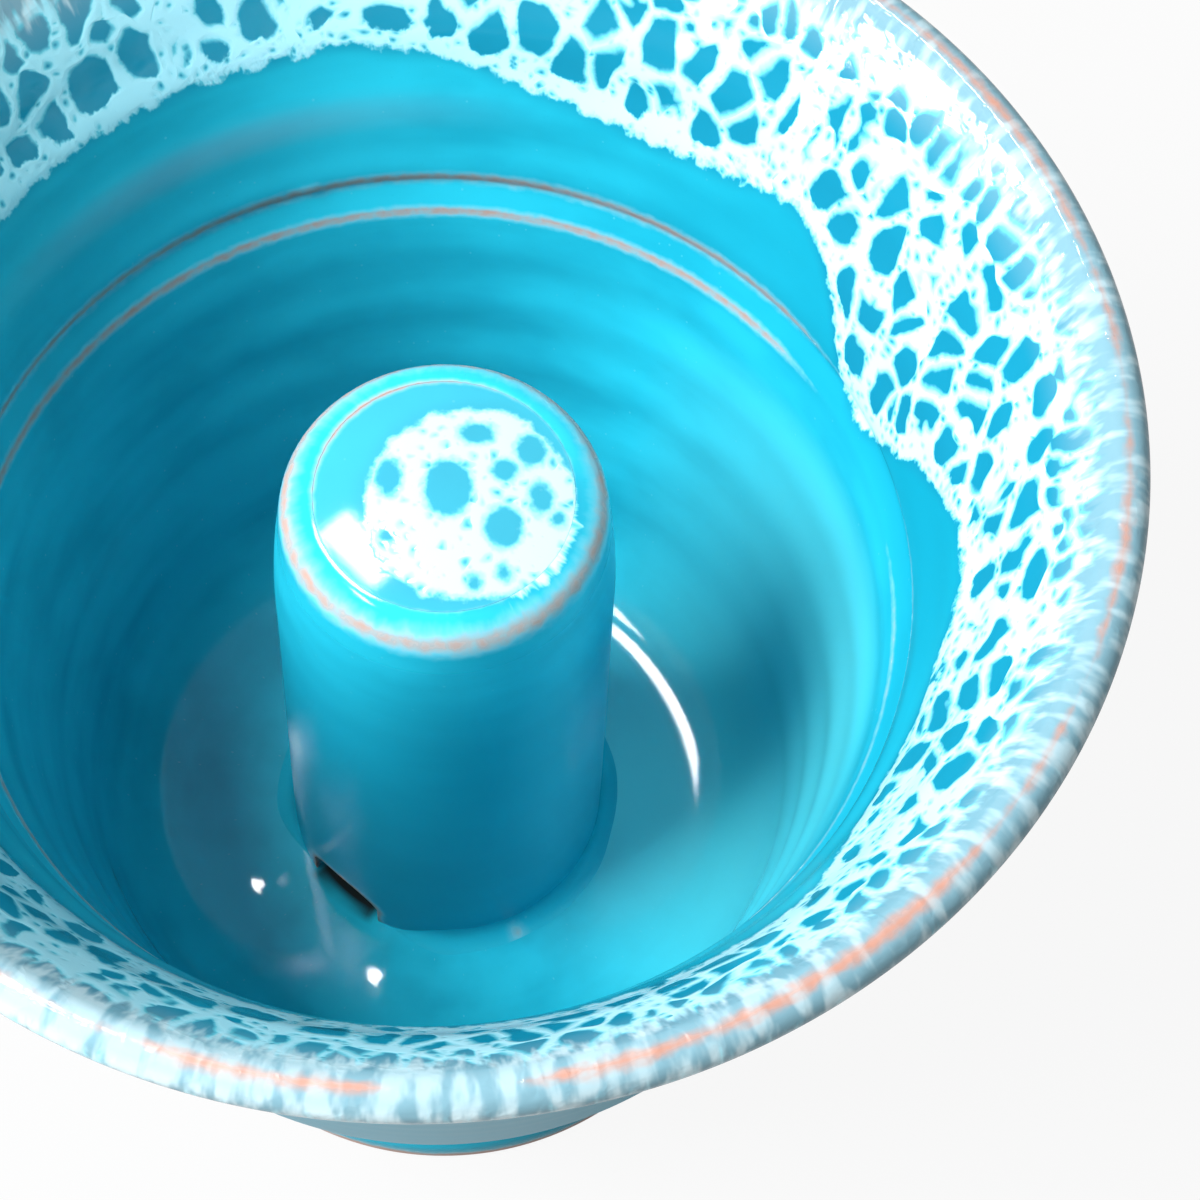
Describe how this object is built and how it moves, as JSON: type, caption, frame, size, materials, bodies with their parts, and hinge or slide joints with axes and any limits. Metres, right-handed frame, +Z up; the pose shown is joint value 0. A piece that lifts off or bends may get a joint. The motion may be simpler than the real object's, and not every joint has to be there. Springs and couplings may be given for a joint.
{
  "type": "pythagorean cup",
  "caption": "Glazed terracotta trick cup with flared lip, hollow foot and a central column that hides a siphon; filled past the groove in its wall, it drains through its foot.",
  "frame": {"origin": "centre of the foot's ring, in the plane of the table", "axes": "+Z up along the axis of the cup and its column; -Y from the axis towards the inlet port at the base of the column"},
  "size_m": [0.095, 0.095, 0.085],
  "materials": {
    "turquoise_glaze": "glossy turquoise glaze that breaks to terracotta on edges",
    "white_lace_glaze": "glossy white glaze opening into a lace of turquoise cells",
    "bare_terracotta": "bare fired terracotta, matt"
  },
  "bodies": {
    "root": {"bowl": "turquoise_glaze", "foot": "turquoise_glaze", "siphon_column": "turquoise_glaze", "column_cap": "white_lace_glaze", "column_coil": "turquoise_glaze", "foot_coil": "turquoise_glaze", "standpipe": "bare_terracotta", "standpipe_coil": "bare_terracotta"}
  },
  "joints": []
}
